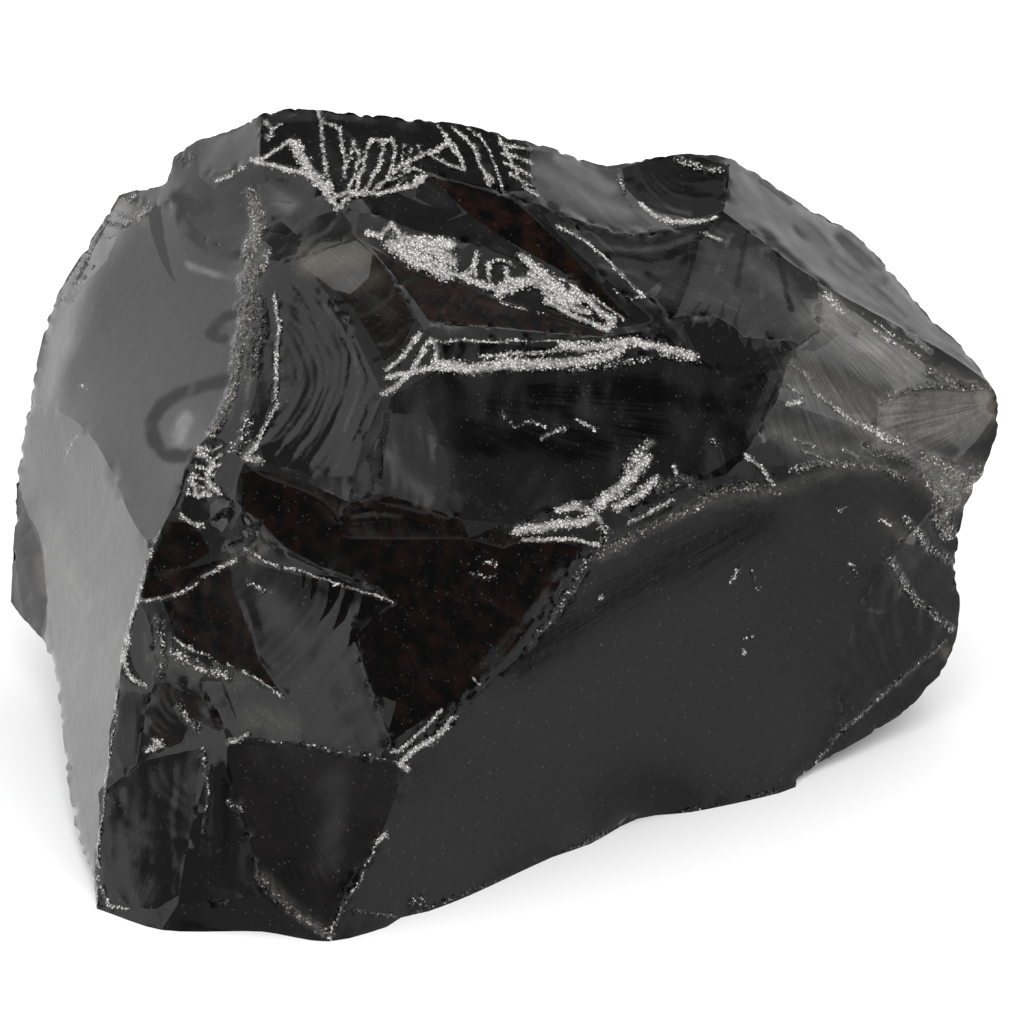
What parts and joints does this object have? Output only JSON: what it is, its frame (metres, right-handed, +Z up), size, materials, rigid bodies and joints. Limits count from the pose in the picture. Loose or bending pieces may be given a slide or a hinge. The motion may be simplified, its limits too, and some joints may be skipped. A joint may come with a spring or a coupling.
{
  "type": "obsidian chunk",
  "caption": "Hand-sized chunk of black volcanic glass with curved fracture scars and sharp ridges, lying on a flat broken base.",
  "frame": {"origin": "on the ground, under the middle of the stone's bounding box", "axes": "+X to the right and +Y to the rear, seen from the side with the most fracture scars; +Z up from the base"},
  "size_m": [0.124, 0.0906, 0.0794],
  "materials": {
    "obsidian": "polished"
  },
  "bodies": {
    "root": {"obsidian_chunk": "obsidian"}
  },
  "joints": []
}
